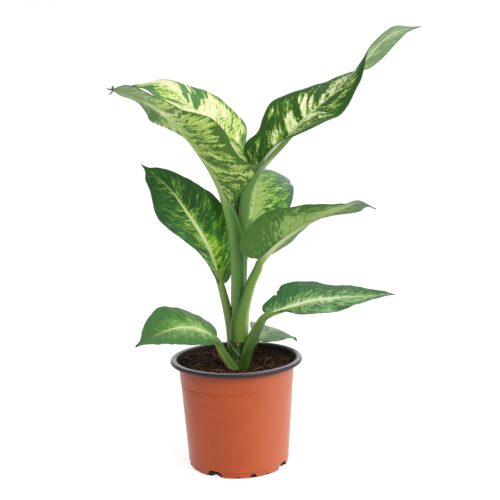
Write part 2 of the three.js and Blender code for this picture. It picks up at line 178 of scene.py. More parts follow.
def unit(v):
    return v / np.maximum(np.linalg.norm(v, axis=-1, keepdims=True), 1e-9)


def smooth_path(points, t):
    """Point at t, 0 to 1, on a smooth curve through the points"""
    p = np.asarray(points, float)
    if p.ndim == 1:
        p = p[:, None]
    n = len(p)
    at = (n - 1) * np.asarray(t, float)
    i = np.clip(np.floor(at).astype(int), 0, n - 2)
    w = (at - i)[:, None]
    ends = np.vstack([2 * p[0] - p[1], p, 2 * p[-1] - p[-2]])
    p0, p1, p2, p3 = ends[i], ends[i + 1], ends[i + 2], ends[i + 3]
    v0, v1 = 0.5 * (p2 - p0), 0.5 * (p3 - p1)
    return (2 * p1 - 2 * p2 + v0 + v1) * w**3 + (3 * p2 - 3 * p1 - 2 * v0 - v1) * w**2 + v0 * w + p1


def station(values, s):
    """Value at s of one number, or of a smooth curve through evenly spaced stations"""
    if np.isscalar(values):
        return np.full(len(s), float(values))
    return smooth_path(values, s)[:, 0]


def ramp(a, b, x):
    u = np.clip((x - a) / (b - a), 0, 1)
    return u * u * (3 - 2 * u)


def frame_at(leaf, t, s):
    """Place, direction along, direction across and upper normal on the midrib"""
    path = leaf["midrib"]
    mid = smooth_path(path, t)
    along = unit(smooth_path(path, np.minimum(t + 1e-3, 1)) - smooth_path(path, np.maximum(t - 1e-3, 0)))
    towards = np.array(leaf["across"], float)
    across = unit(towards - (along @ towards)[:, None] * along)
    up = np.cross(across, along)
    turn = np.radians(np.where(s > 0, station(leaf.get("twist", 0), np.maximum(s, 0)), 0))[:, None]
    return mid, along, np.cos(turn) * across + np.sin(turn) * up, np.cos(turn) * up - np.sin(turn) * across


def outline(s, widest, tip_sharp):
    """Share of the half width: round towards the base, drawn out towards the tip"""
    base = np.sqrt(np.clip(1 - (np.abs(widest - s) / widest) ** 2.3, 0, 1))
    tip = (1 - np.clip((s - widest) / (1 - widest), 0, 1) ** 1.6) ** tip_sharp
    return np.where(s < widest, base, tip)


def blade_points(leaf, s, v):
    """Points of the blade: s from base to tip, v from -1 (left margin) to 1 (right margin)"""
    t0 = leaf["blade_from"] / (len(leaf["midrib"]) - 1)
    mid, along, across, up = frame_at(leaf, t0 + (1 - t0) * s, s)
    m, left = np.abs(v), v < 0
    side = np.where(left, -1.0, 1.0)

    def half(key, default=None):
        a = station(leaf.get("left" + key, default), s)
        return np.where(left, a, station(leaf.get("right" + key, default), s))

    def swept_by(key):
        back, forth = leaf.get(key + "_sweep", leaf.get("sweep", (-0.25, 0.5)))
        return back + (forth - back) * np.clip(s / 0.5, 0, 1)

    lift = np.radians(half(""))
    bend = np.radians(half("_bend", -15))
    bend = np.where(np.abs(bend) < 2e-3, 2e-3, bend)
    width = leaf["half_width"] * half("_span", 1) * outline(s, leaf["widest"], leaf.get("tip_sharp", 1.2))
    end = lift + bend * m
    for which, at, deep in leaf.get("tears", ()):
        width = width * (1 - deep * np.exp(-(((s - at) / 0.008) ** 2)) * (side == which))
    out = width / bend * (np.sin(end) - np.sin(lift))
    rise = width / bend * (np.cos(lift) - np.cos(end))
    swept = np.where(left, swept_by("left"), swept_by("right"))
    height, count, start = leaf.get("ripple", (0, 3, 0))
    share = np.clip(width / leaf["half_width"], 0, 1)
    wave = height * m * m * np.sin(2 * np.pi * (count * s + start + np.where(left, 0.35, 0))) * share
    seed = leaf["midrib"][-1][0]
    ruffle = np.sin(37 * s + seed + 2 * side) + 0.6 * np.sin(71 * s + 3 * seed + side)
    veins = np.sin(np.pi * m) * np.cos(2 * np.pi * VEINS * (s - leaf.get("lean", VEIN_LEAN) * m))
    channel = np.exp(-((m * width / CHANNEL_WIDE) ** 2))
    wave = wave + share * (RUFFLE * m**3 * ruffle + VEIN_RELIEF * veins - CHANNEL * channel)
    return (mid + (side * (out - wave * np.sin(end)))[:, None] * across
            + (rise + wave * np.cos(end))[:, None] * up + (swept * width * m * m)[:, None] * along)


def stalk_points(leaf, around, y):
    """Points of the petiole and midrib, one tapering rod; around and y from 0 to 1"""
    t0 = leaf["blade_from"] / (len(leaf["midrib"]) - 1)
    t = y * (t0 + (1 - t0) * RIB_REACH)
    s = (t - t0) / (1 - t0)
    mid, _, across, up = frame_at(leaf, t, s)
    root = leaf["stalk"][-1]
    petiole = station(leaf["stalk"], np.clip(t / t0, 0, 1))
    rib = RIB_END + (root - RIB_END) * np.clip(1 - s / RIB_REACH, 0, 1) ** leaf.get("rib_taper", 1.5)
    r = np.where(s < 0, petiole, rib)
    sunk = ramp(0, 0.12, s)
    mid = mid - (0.5 * sunk)[:, None] * up
    a = 2 * np.pi * around
    from_top = np.angle(np.exp(1j * (a - np.pi / 2)))
    groove = 1 - 0.12 * np.exp(-((from_top / 0.5) ** 2)) * ramp(0.3, 0.7, t / t0)
    r = r * groove * np.where((y <= 0) | (y >= 1), 0, 1)
    rise = r * np.sin(a) * np.where(np.sin(a) > 0, 1 - sunk, 1 - 0.2 * sunk)
    return mid + (r * np.cos(a))[:, None] * across + rise[:, None] * up


# Making pieces

def deselect():
    bpy.ops.object.select_all(action="DESELECT")


def select(*pieces):
    deselect()
    for piece in pieces:
        piece.select_set(True)
    bpy.context.view_layer.objects.active = pieces[0]


def join(pieces, name):
    select(*pieces)
    bpy.ops.object.join()
    whole = bpy.context.object
    whole.name = whole.data.name = name
    return whole


def points_of(obj):
    co = np.empty(3 * len(obj.data.vertices))
    obj.data.vertices.foreach_get("co", co)
    return co.reshape(-1, 3)


def sheet_piece(name, nx, ny, shape):
    """A grid bent by shape(x, y), x and y from 0 to 1, in millimetres; its UV map is x and y"""
    deselect()
    bpy.ops.mesh.primitive_grid_add(x_subdivisions=nx, y_subdivisions=ny, size=1)
    obj = bpy.context.object
    obj.name = obj.data.name = name
    co = points_of(obj) + 0.5
    obj.data.vertices.foreach_set("co", (shape(co[:, 0], co[:, 1]) * MM).ravel())
    obj.data.update()
    return obj


def weld(obj, distance=0.02):
    """Closes seams and poles, and turns the faces outwards"""
    select(obj)
    bpy.ops.object.mode_set(mode="EDIT")
    bpy.ops.mesh.select_all(action="SELECT")
    bpy.ops.mesh.remove_doubles(threshold=distance * MM)
    bpy.ops.mesh.normals_make_consistent(inside=False)
    bpy.ops.object.mode_set(mode="OBJECT")


def apply_modifier(obj, kind, **settings):
    mod = obj.modifiers.new(kind.title(), kind)
    for key, value in settings.items():
        setattr(mod, key, value)
    select(obj)
    bpy.ops.object.modifier_apply(modifier=mod.name)


def finish_piece(obj, node, slot, *materials):
    for material in materials:
        obj.data.materials.append(material)
    select(obj)
    bpy.ops.object.shade_smooth_by_angle(angle=math.radians(SMOOTH_DEG))
    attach(obj, "root")
    if node:
        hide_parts(node)


def blade_piece(name, leaf, upper, under):
    obj = sheet_piece(name, BLADE_ACROSS, BLADE_ALONG,
                      lambda x, y: blade_points(leaf, 0.006 + 0.988 * y, 2 * x - 1))
    obj.data.materials.append(upper)
    obj.data.materials.append(under)
    apply_modifier(obj, "SOLIDIFY", thickness=BLADE * MM, offset=0, material_offset=1)
    finish_piece(obj, name.replace("_blade", ""), "leaf")


def stalk_piece(name, leaf, material):
    obj = sheet_piece(name, STALK_ROUND, STALK_ALONG, lambda x, y: stalk_points(leaf, x, y))
    weld(obj)
    finish_piece(obj, name.replace("_stalk", ""), "leaf", material)


def turned(name, profile, segments):
    """A closed round shell: a disc carried along the profile by extrusion and scaling"""
    deselect()
    (r, z), rest = profile[0], profile[1:]
    bpy.ops.mesh.primitive_circle_add(vertices=segments, radius=r * MM, fill_type="NGON")
    obj = bpy.context.object
    obj.name = obj.data.name = name
    bpy.ops.object.mode_set(mode="EDIT")
    bpy.ops.mesh.select_all(action="SELECT")
    bpy.ops.transform.translate(value=(0, 0, z * MM))
    for r1, z1 in rest:
        bpy.ops.mesh.extrude_region_move(TRANSFORM_OT_translate={"value": (0, 0, (z1 - z) * MM)})
        bpy.ops.transform.resize(value=(r1 / r, r1 / r, 1), center_override=(0, 0, z1 * MM))
        r, z = r1, z1
    bpy.ops.object.mode_set(mode="OBJECT")
    weld(obj, 0.001)
    return obj


# Node helpers

class Net:
    """Adds nodes to one tree; takes sockets and plain numbers alike"""

    def __init__(self, tree):
        self.tree = tree

    def put(self, socket, value):
        if isinstance(value, bpy.types.NodeSocket):
            self.tree.links.new(value, socket)
        else:
            socket.default_value = value

    def node(self, kind, inputs=None, **settings):
        n = self.tree.nodes.new("ShaderNode" + kind)
        for key, value in settings.items():
            setattr(n, key, value)
        for key, value in (inputs or {}).items():
            self.put(n.inputs[key], value)
        return n

    def math(self, operation, a, b=0.0, c=0.0):
        return self.node("Math", {0: a, 1: b, 2: c}, operation=operation).outputs[0]

    def times(self, a, b, plus=0.0):
        return self.math("MULTIPLY_ADD", a, b, plus)

    def minus(self, a, b):
        return self.math("SUBTRACT", a, b)

    def vectors(self, operation, *inputs):
        return self.node("VectorMath", dict(enumerate(inputs)), operation=operation).outputs

    def parts(self, vector):
        return self.node("SeparateXYZ", {0: vector}).outputs

    def step(self, a, b, x):
        n = self.node("MapRange", {"Value": x, "From Min": a, "From Max": b},
                      interpolation_type="SMOOTHSTEP")
        return n.outputs["Result"]

    def mix(self, factor, a, b, blend="MIX"):
        n = self.node("Mix", data_type="RGBA", blend_type=blend)
        for i, value in ((0, factor), (6, a), (7, b)):
            self.put(n.inputs[i], value)
        return n.outputs[2]

    def vector(self, x, y, z):
        return self.node("CombineXYZ", {0: x, 1: y, 2: z}).outputs[0]

    def noise(self, vector, scale=1.0, detail=2.0, roughness=0.5):
        inputs = {"Vector": vector, "Scale": scale, "Detail": detail, "Roughness": roughness}
        return self.node("TexNoise", inputs).outputs["Fac"]

    def object_coords(self):
        return self.node("TexCoord").outputs["Object"]


def group(name, inputs, outputs):
    """A node group with named inputs (name: default) and outputs (name: kind)"""
    tree = bpy.data.node_groups.new(name, "ShaderNodeTree")
    for key, value in inputs.items():
        kind = "Float" if isinstance(value, float) else "Vector" if len(value) == 3 else "Color"
        socket = tree.interface.new_socket(key, in_out="INPUT", socket_type="NodeSocket" + kind)
        socket.default_value = value
    for key, kind in outputs.items():
        tree.interface.new_socket(key, in_out="OUTPUT", socket_type="NodeSocket" + kind)
    return Net(tree), tree.nodes.new("NodeGroupInput").outputs, tree.nodes.new("NodeGroupOutput").inputs


def rgb(r, g, b):
    return (r, g, b, 1.0)


def material(name, roughness=0.5, specular=0.5):
    mat = bpy.data.materials.new(name)
    mat.use_nodes = True
    shader = mat.node_tree.nodes["Principled BSDF"]
    shader.inputs["Roughness"].default_value = roughness
    shader.inputs["Specular IOR Level"].default_value = specular
    return mat, Net(mat.node_tree), shader


def coat(net, shader, color, height, distance, strength=1.0):
    """Gives a skin its colour and its relief"""
    net.put(shader.inputs["Base Color"], color)
    n = net.node("Bump", {"Height": height, "Distance": distance, "Strength": strength})
    net.put(shader.inputs["Normal"], n.outputs["Normal"])


# Variegation: patches and flecks that follow the veins, from the blade's own UV map
def leaf_pattern():
    net, i, o = group("leaf_pattern", {
        "UV": (0.0, 0.0, 0.0), "Amount": 0.5, "Patches": 0.5, "Patch Scale": 8.0, "Flecks": 0.5,
        "Fleck Scale": 50.0, "Fleck Length": 4.0, "Margin": 0.8, "Margin Drop": 0.6, "Soft": 0.05,
        "Lime At": 0.15, "Cream At": 0.55, "Wave": 0.02, "Lean": VEIN_LEAN,
        "Seed": 0.0, "Streaks": 0.2, "Rib Width": 0.05, "Dark": rgb(0.02, 0.08, 0.025),
        "Green": rgb(0.08, 0.22, 0.04), "Lime": rgb(0.3, 0.5, 0.1), "Cream": rgb(0.7, 0.75, 0.38),
        "Rib": rgb(0.6, 0.7, 0.36),
    }, {"Color": "Color", "Height": "Float"})
    x, s, _ = net.parts(i["UV"])
    x = net.times(x, 2.0, -1.0)
    side = net.math("SIGN", x)
    x = net.math("ABSOLUTE", x)
    seed = net.times(side, 3.1, i["Seed"])
    vein_at = net.minus(s, net.times(x, i["Lean"]))
    wander = net.minus(net.noise(net.vector(s, x, seed), 6.0), 0.5)
    along = net.times(wander, 0.05, vein_at)
    wander = net.minus(net.noise(net.vector(net.times(s, 3.5), x, seed), 9.0), 0.5)
    along = net.times(wander, i["Wave"], along)

    def spots(scale, length, shift, detail, rough=0.55):
        place = net.vector(net.times(along, scale), net.times(x, length), net.math("ADD", seed, shift))
        return net.times(net.noise(place, 1.0, detail, rough), 4.0, -2.0)

    value = net.times(spots(i["Patch Scale"], 1.3, 0.0, 1.0), i["Patches"], i["Amount"])
    flecks = spots(i["Fleck Scale"], i["Fleck Length"], 7.0, 4.0, 0.62)
    value = net.times(flecks, i["Flecks"], value)
    edge = net.times(net.step(i["Margin"], 1.0, x), i["Margin Drop"])
    value = net.minus(value, edge)
    color = i["Dark"]
    for at, tone in ((0.0, "Green"), (i["Lime At"], "Lime"), (i["Cream At"], "Cream")):
        color = net.mix(net.step(at, net.math("ADD", i["Soft"], at), value), color, i[tone])
    streak = spots(240.0, 4.0, 11.0, 2.0)
    shade = net.times(streak, i["Streaks"], 1.0)
    shade = net.times(spots(30.0, 5.0, 15.0, 4.0, 0.6), 0.13, shade)
    shade = net.node("CombineColor", {0: shade, 1: shade, 2: shade}).outputs[0]
    color = net.mix(1.0, color, shade, "MULTIPLY")
    vein = net.math("ABSOLUTE", net.math("SINE", net.times(vein_at, math.pi * VEINS)))
    vein = net.times(net.step(0.14, 0.0, vein), net.step(1.0, 0.2, x))
    color = net.mix(net.times(vein, 0.15), color, i["Rib"])
    width = net.times(i["Rib Width"], net.minus(1.15, s))
    rib = net.times(net.step(width, net.times(width, 0.5), x), net.step(1.1, 0.5, s))
    color = net.mix(rib, color, i["Rib"])
    net.put(o["Color"], color)
    net.put(o["Height"], net.times(streak, 0.12, net.times(vein, 0.6)))
    return net.tree


PATTERN = leaf_pattern()


def tone_along(net, s, stations):
    """Tone from base to tip as a curve through evenly spaced stations"""
    n = net.node("FloatCurve", {"Value": s})
    n.mapping.clip_min_y, n.mapping.clip_max_y = -3, 3
    points = n.mapping.curves[0].points
    points[0].location, points[1].location = (0, stations[0]), (1, stations[-1])
    for k, value in enumerate(stations[1:-1], 1):
        points.new(k / (len(stations) - 1), value)
    n.mapping.update()
    return n.outputs[0]


PALE = rgb(0.29, 0.42, 0.11)
DEEP = rgb(0.045, 0.14, 0.015)


def leaf_material(name, lean, left, right=None, marks=(), slope=0.3, under=False, haze=0.0, fade=0.0,
                  grey=rgb(0.16, 0.28, 0.12), glow=False, gloss=0.36, shine=0.32, tones=(), **values):
    """One face of a blade, with the tones and marks of its looks"""
    mat, net, shader = material(name, 0.5 if under else gloss, 0.25 if under else shine)
    uv = net.node("UVMap").outputs["UV"]
    x, s, _ = net.parts(uv)
    n = net.node("Group", node_tree=PATTERN)
    net.put(n.inputs["UV"], uv)
    net.put(n.inputs["Lean"], lean)
    amount = net.node("Mix", {0: net.step(0.499, 0.501, x), 2: tone_along(net, s, left),
                              3: tone_along(net, s, right or left)}).outputs[0]
    across = net.times(x, 2.0, -1.0)
    out = net.math("ABSOLUTE", across)
    amount = net.times(out, -slope, amount)
    along = net.times(out, -lean, s)
    place = net.vector(along, across, 0.0)
    rag = net.noise(net.vector(net.times(along, 45.0), net.times(across, 4.0), 0.0), 1.0, 3.0)
    for at, beside, long, wide, lighter in marks:
        size, shift = (1 / long, 1 / wide, 0), (-at / long, -beside / wide, 0)
        share = net.vectors("MULTIPLY_ADD", place, size, shift)["Vector"]
        reach = net.vectors("LENGTH", share)["Value"]
        reach = net.times(rag, 1.6, net.minus(reach, 0.8))
        amount = net.times(net.step(1.25, 0.55, reach), lighter, amount)
    net.put(n.inputs["Amount"], amount)
    for key, tone in zip(("Dark", "Green", "Lime", "Cream"), tones):
        net.put(n.inputs[key], rgb(*tone))
    for key, value in values.items():
        net.put(n.inputs[key.replace("_", " ").title()], value)
    color = n.outputs["Color"]
    dry = net.step(0.965, 1.0, net.times(rag, 0.03, s))
    color = net.mix(dry, color, rgb(0.06, 0.065, 0.03))
    if glow:
        lit = net.times(net.step(0.6, 0.2, s), net.step(0.5, 0.62, x))
        vivid = net.vectors("MULTIPLY", color, (0.93, 1.1, 0.3))["Vector"]
        color = net.mix(lit, color, vivid)
    if haze or fade:
        pale = net.times(net.step(0.6, 0.95, s), fade, haze)
        color = net.mix(pale, color, grey)
    coat(net, shader, color, n.outputs["Height"], 0.0003, 0.8)
    return mat


def stalk_material(name, blade_at, low, high, streak, side_light_and_shade=(), rib=PALE, rib_end=None):
    """Smooth green skin with fine streaks along it, with painted light and shade on its sides: for each,
    where round it, how far, how strong and its tone
    """
    mat, net, shader = material(name, 0.38, 0.35)
    around, y, _ = net.parts(net.node("UVMap").outputs["UV"])
    color = net.mix(net.step(0.1, 0.75, y), low, high)
    a = net.times(around, 2 * math.pi)
    ring = net.vector(net.times(net.math("COSINE", a), 3.0), net.times(net.math("SINE", a), 3.0),
                      net.times(y, 5.0))
    lines = net.noise(ring, 2.2, 4.0, 0.6)
    color = net.mix(net.times(net.step(0.45, 0.75, lines), 0.2), color, streak)
    # Painted light and shade: each side of the stalk is mixed lighter or darker by its angle round the stalk
    for at, reach, share, tone in side_light_and_shade:
        turn = net.times(lines, 0.25, net.math("COSINE", net.minus(a, 2 * math.pi * at)))
        mask = net.step(math.cos(math.radians(reach)), math.cos(math.radians(reach * 0.3)) + 0.1, turn)
        color = net.mix(net.times(mask, share), color, tone)
    color = net.mix(net.step(blade_at - 0.02, blade_at + 0.08, y), color, rib)
    if rib_end:
        color = net.mix(net.step(0.6, 0.9, y), color, rib_end)
    coat(net, shader, color, lines, 0.0003, 0.4)
    return mat


# Looks of the leaves; tones: dark, green, lime and cream
# left, right: tone of each half from base to tip, below 0 dark, above it green, lime and cream
# marks: place along and across, size along and across, and how much lighter or darker
LOOKS = {
    "right_top": dict(
        left=[0, -0.1, 0.1, 0.35, 0.4, 0.4, 0.4, 0.35, 0.2, 0, -0.2],
        right=[0.15, 0.2, 0.2, 0.15, 0.1, 0.05, 0, 0, -0.05, -0.2, -0.3], shine=0.18, gloss=0.5,
        marks=[(0.235, -0.22, 0.045, 0.24, 0.9), (0.275, -0.32, 0.022, 0.28, -1),
               (0.315, -0.45, 0.018, 0.42, 0.8), (0.355, -0.4, 0.012, 0.42, 0.7),
               (0.335, -0.5, 0.007, 0.3, -0.9), (0.405, -0.55, 0.032, 0.38, -1.2),
               (0.42, -0.2, 0.012, 0.22, 0.7), (0.5, -0.3, 0.03, 0.35, 0.7), (0.46, -0.12, 0.02, 0.1, -0.8),
               (0.3, 0.15, 0.06, 0.2, 0.5), (0.26, 0.5, 0.06, 0.4, 0.3), (0.44, 0.3, 0.05, 0.25, -0.4),
               (0.12, -0.3, 0.04, 0.22, 0.5), (0.135, -0.85, 0.025, 0.12, 0.7),
               (0.37, 0.45, 0.08, 0.3, 0.25), (0.61, 0.3, 0.06, 0.25, 0.7), (0.5, 0.5, 0.05, 0.3, 0.4),
               (-0.03, -0.7, 0.02, 0.15, 0.6)],
        slope=0.45, patches=0.45, patch_scale=26, flecks=1.15, fleck_scale=80, fleck_length=2.4, seed=2,
        margin=0.78, margin_drop=0.9, soft=0.06,
        tones=[(0.03, 0.105, 0.012), (0.055, 0.2, 0.018), (0.31, 0.5, 0.08), (0.86, 0.9, 0.5)],
        under=dict(
            left=[0.1, 0.1, 0.15, 0.2, 0.2, 0.25, 0.3, 0.3, 0.25, 0.2, 0.2], right=None,
            marks=[(0.06, 0.5, 0.05, 0.35, 0.7), (0.13, 0.9, 0.06, 0.2, -0.6), (0.2, 0.4, 0.05, 0.35, 0.5)],
            slope=0.1, patches=0.25, flecks=0.08, soft=0.5, margin=0.85, margin_drop=0.3, streaks=0.1,
            fade=0.4, grey=rgb(0.36, 0.48, 0.3),
            tones=[(0.1, 0.19, 0.06), (0.2, 0.32, 0.12), (0.46, 0.6, 0.32), (0.58, 0.7, 0.42)])),
    "back_top": dict(
        left=[0.8, 0.8, 0.8, 0.8, 0.8, 0.75, 0.6, 0.55, 0.6, 0.6, -0.4],
        right=[0.6, 0.55, 0.45, 0.6, 0.75, 0.9, 0.9, 0.9, 1.1, 0.9, -0.4],
        marks=[(0.603, 0.85, 0.034, 0.35, -1.5), (0.628, 0.42, 0.024, 0.3, -1.4),
               (0.6, 0.12, 0.012, 0.12, -1.2), (0.49, 0.88, 0.038, 0.35, -1.5),
               (0.545, 0.45, 0.04, 0.35, -1.5), (0.537, 0.12, 0.022, 0.14, -1.3),
               (0.562, 0.8, 0.01, 0.3, 0.9), (0.437, 0.85, 0.012, 0.12, -1.2), (0.4, 0.4, 0.03, 0.6, 0.5),
               (0.7, -0.95, 0.17, 0.22, -1.2), (0.56, -0.5, 0.02, 0.25, -0.9),
               (0.79, -0.65, 0.05, 0.3, -0.8), (0.86, -0.15, 0.04, 0.3, -0.3)],
        slope=0.25, patches=0.3, patch_scale=14, flecks=0.95, fleck_scale=70, fleck_length=3.5, seed=5,
        margin=0.82, margin_drop=0.5, soft=0.08,
        tones=[(0.055, 0.2, 0.025), (0.11, 0.3, 0.03), (0.45, 0.62, 0.1), (0.76, 0.76, 0.44)]),
    "left_top": dict(
        left=[0.3, 0.4, 0.5, 0.5, 0.5, 0.5, 0.5, 0.4, 0.3, 0.2, 0.1],
        marks=[(0.35, 0.76, 0.14, 0.13, 1.2), (0.37, 1, 0.14, 0.12, 0.8)], slope=0.4, patch_scale=12,
        flecks=0.9, fleck_scale=55, seed=8, margin=0.88,
        tones=[(0.04, 0.13, 0.015), (0.11, 0.26, 0.015), (0.3, 0.47, 0.09), (0.68, 0.74, 0.35)],
        under=dict(
            left=[-0.1, 0.1, 0.25, 0.3, 0.35, 0.45, 0.5, 0.45, 0.3, 0.2, 0.1],
            right=[-0.1, 0.1, 0.25, 0.3, 0.3, 0.2, -0.1, -0.1, 0, 0, 0],
            marks=[(0.57, -0.25, 0.12, 0.2, 0.45), (0.72, -0.25, 0.06, 0.2, 0.4),
                   (0.44, -0.95, 0.1, 0.16, -0.7)],
            slope=0.2, patches=0.3, patch_scale=16, flecks=1.1, fleck_scale=60, fleck_length=1.7, wave=0.04,
            rib=rgb(0.5, 0.6, 0.26), rib_width=0.1, margin_drop=0.3, streaks=0.1, cream_at=0.8, soft=0.2,
            fade=0.8, grey=rgb(0.2, 0.3, 0.15),
            tones=[(0.06, 0.15, 0.018), (0.14, 0.27, 0.035), (0.39, 0.54, 0.12), (0.7, 0.79, 0.38)])),
    "back_mid": dict(
        left=[0.6, 0.7, 0.7, 0.5, 0.2, 0.1, 0, 0, -0.2, -0.2, -0.2],
        right=[0.7, 0.75, 0.75, 0.6, 0.45, 0.2, 0, 0, -0.2, -0.2, -0.2], marks=[(0.1, 0.1, 0.25, 0.12, 0.4)],
        slope=0.95, patches=0.15, flecks=1.1, fleck_scale=80, seed=11, margin=0.75, margin_drop=0.5,
        wave=0.03, rib_width=0.045, rib=rgb(0.66, 0.76, 0.4),
        tones=[(0.07, 0.18, 0.08), (0.15, 0.37, 0.06), (0.36, 0.62, 0.09), (0.6, 0.78, 0.26)]),
    "right_mid": dict(
        left=[0.3, 0.4, 0.5, 0.5, 0.4, 0.4, 0.3, 0.2, 0.2, 0.1, 0], slope=0.6, patches=0.4, flecks=0.6,
        seed=14, margin=0.7,
        tones=[(0.025, 0.1, 0.025), (0.07, 0.21, 0.04), (0.28, 0.45, 0.09), (0.6, 0.7, 0.3)],
        under=dict(
            left=[0.1, 0.2, 0.2, 0.2, 0.2, 0.2, 0.2, 0.2, 0.2, 0.2, 0.2],
            right=[0, 0.1, 0.3, 0.5, 0.5, 0.55, 0.7, 0.9, 1, 1, 1], marks=[(0.27, 0.3, 0.1, 0.35, 0.25)],
            slope=0.3, patches=0.2, flecks=0.45, soft=0.5, margin=0.6, margin_drop=0.3, fade=0.85,
            grey=rgb(0.155, 0.2, 0.115), rib_width=0.04,
            tones=[(0.06, 0.16, 0.022), (0.14, 0.29, 0.05), (0.3, 0.46, 0.12), (0.22, 0.28, 0.16)])),
    "left_mid": dict(
        left=[0.8, 0.7, 0.5, 0.35, 0.25, 0.2, 0.15, 0.1, 0, -0.2, -0.4],
        right=[0.2, 0.35, 0.45, 0.4, 0.2, 0.12, 0.12, 0.15, 0.05, -0.2, -0.4],
        marks=[(0.2, 0.2, 0.1, 0.25, 0.5), (0.39, 0.75, 0.04, 0.2, 0.35), (0.69, 0.5, 0.06, 0.2, 0.3),
               (0.3, -0.25, 0.12, 0.2, 0.4), (0.3, 0.8, 0.03, 0.25, -0.6), (0.5, 0.6, 0.08, 0.3, -0.25),
               (0.45, 0.08, 0.25, 0.1, 0.35)],
        slope=0.5, lime_at=0.3, cream_at=0.95, patches=0.4, patch_scale=16, flecks=1.2, fleck_scale=75,
        fleck_length=2.4, seed=17, margin_drop=0.4, wave=0.03, soft=0.12, rib_width=0.11,
        rib=rgb(0.78, 0.9, 0.42), shine=0.12, glow=True,
        tones=[(0.036, 0.12, 0.032), (0.08, 0.26, 0.045), (0.28, 0.5, 0.075), (0.6, 0.76, 0.3)]),
    "right_low": dict(
        left=[0.35, 0.35, 0.3, 0.3, 0.4, 0.4, 0.4, 0.4, 0.3, 0.2, 0],
        right=[0.7, 0.75, 0.8, 0.8, 0.8, 0.8, 0.8, 0.8, 0.7, 0.4, 0],
        marks=[(0.3, -0.1, 0.22, 0.12, 0.45), (0.55, -0.08, 0.2, 0.1, 0.4), (0.42, 0.15, 0.2, 0.15, 0.35),
               (0.33, 0.6, 0.04, 0.2, -0.5), (0.44, 0.55, 0.05, 0.2, -0.4), (0.15, -0.6, 0.1, 0.3, -0.2),
               (0.5, 0.9, 0.4, 0.35, 0.35), (0.88, 0, 0.07, 0.8, 0.4)],
        slope=1, lime_at=0.35, cream_at=0.95, patches=0.35, patch_scale=14, flecks=1, fleck_scale=75,
        seed=20, soft=0.15, margin=0.5, margin_drop=0.2, wave=0.03, rib_width=0.12,
        rib=rgb(0.84, 0.92, 0.58),
        tones=[(0.05, 0.16, 0.05), (0.16, 0.35, 0.11), (0.34, 0.53, 0.19), (0.7, 0.79, 0.4)]),
    "left_front_low": dict(
        left=[0.6, 0.65, 0.7, 0.7, 0.7, 0.7, 0.65, 0.5, 0.3, 0.1, 0],
        right=[0.4, 0.45, 0.5, 0.5, 0.45, 0.45, 0.4, 0.3, 0.1, 0, 0],
        marks=[(0.25, 0.12, 0.25, 0.12, 0.3), (0.3, -0.12, 0.3, 0.12, 0.35)], slope=0.8, lime_at=0.35,
        cream_at=0.8, patches=0.2, patch_scale=10, flecks=0.55, fleck_scale=60, seed=23, soft=0.2,
        margin=0.5, margin_drop=0.2, wave=0.03, rib_width=0.1, rib=rgb(0.62, 0.74, 0.36),
        tones=[(0.06, 0.18, 0.04), (0.11, 0.28, 0.055), (0.3, 0.48, 0.13), (0.56, 0.7, 0.3)]),
    "right_back_low": dict(
        left=[0.25, 0.25], patches=0.15, patch_scale=6, flecks=0.3, fleck_scale=40, seed=26, soft=0.25,
        margin=0.5, margin_drop=0.2,
        tones=[(0.17, 0.31, 0.15), (0.3, 0.44, 0.25), (0.46, 0.58, 0.36), (0.62, 0.72, 0.5)]),
}
# Stalk skins; the tones set round each stalk are painted light and shade on its sides
STALKS = {
    "right_top": dict(
        low=rgb(0.1, 0.23, 0.04), high=rgb(0.16, 0.29, 0.08), streak=rgb(0.2, 0.34, 0.1),
        side_light_and_shade=[(0.25, 45, 0.6, rgb(0.2, 0.34, 0.12)), (0.43, 30, 0.8, DEEP)], rib=rgb(0.48, 0.6, 0.31)),
    "left_top": dict(
        low=rgb(0.06, 0.17, 0.022), high=rgb(0.13, 0.25, 0.045), streak=PALE,
        side_light_and_shade=[(0.84, 70, 0.75, rgb(0.18, 0.32, 0.06)), (0.48, 60, 0.8, DEEP), (0.3, 22, 0.8, PALE)],
        rib=rgb(0.26, 0.37, 0.11), rib_end=rgb(0.45, 0.55, 0.22)),
    "back_top": dict(
        low=DEEP, high=rgb(0.05, 0.11, 0.015), streak=rgb(0.1, 0.2, 0.03)),
    "right_mid": dict(
        low=rgb(0.055, 0.155, 0.01), high=rgb(0.14, 0.27, 0.04), streak=PALE,
        side_light_and_shade=[(0.62, 62, 0.9, rgb(0.42, 0.53, 0.18)), (0.88, 45, 0.5, rgb(0.17, 0.3, 0.05)),
               (0.25, 26, 0.8, PALE)],
        rib=rgb(0.5, 0.6, 0.28), rib_end=rgb(0.15, 0.2, 0.1)),
    "left_mid": dict(
        low=rgb(0.13, 0.26, 0.04), high=rgb(0.2, 0.33, 0.06), streak=PALE,
        side_light_and_shade=[(0.75, 60, 0.5, PALE), (0.33, 60, 0.6, rgb(0.3, 0.45, 0.14))]),
    "right_low": dict(
        low=rgb(0.042, 0.105, 0.01), high=rgb(0.16, 0.29, 0.05), streak=PALE,
        side_light_and_shade=[(0.25, 60, 0.5, rgb(0.24, 0.36, 0.07))]),
    "left_front_low": dict(
        low=rgb(0.07, 0.16, 0.02), high=rgb(0.09, 0.2, 0.025), streak=PALE,
        side_light_and_shade=[(0.67, 85, 0.95, rgb(0.58, 0.64, 0.15))]),
}
PLAIN_STALK = dict(low=rgb(0.07, 0.17, 0.02), high=rgb(0.12, 0.24, 0.04), streak=rgb(0.25, 0.38, 0.08))


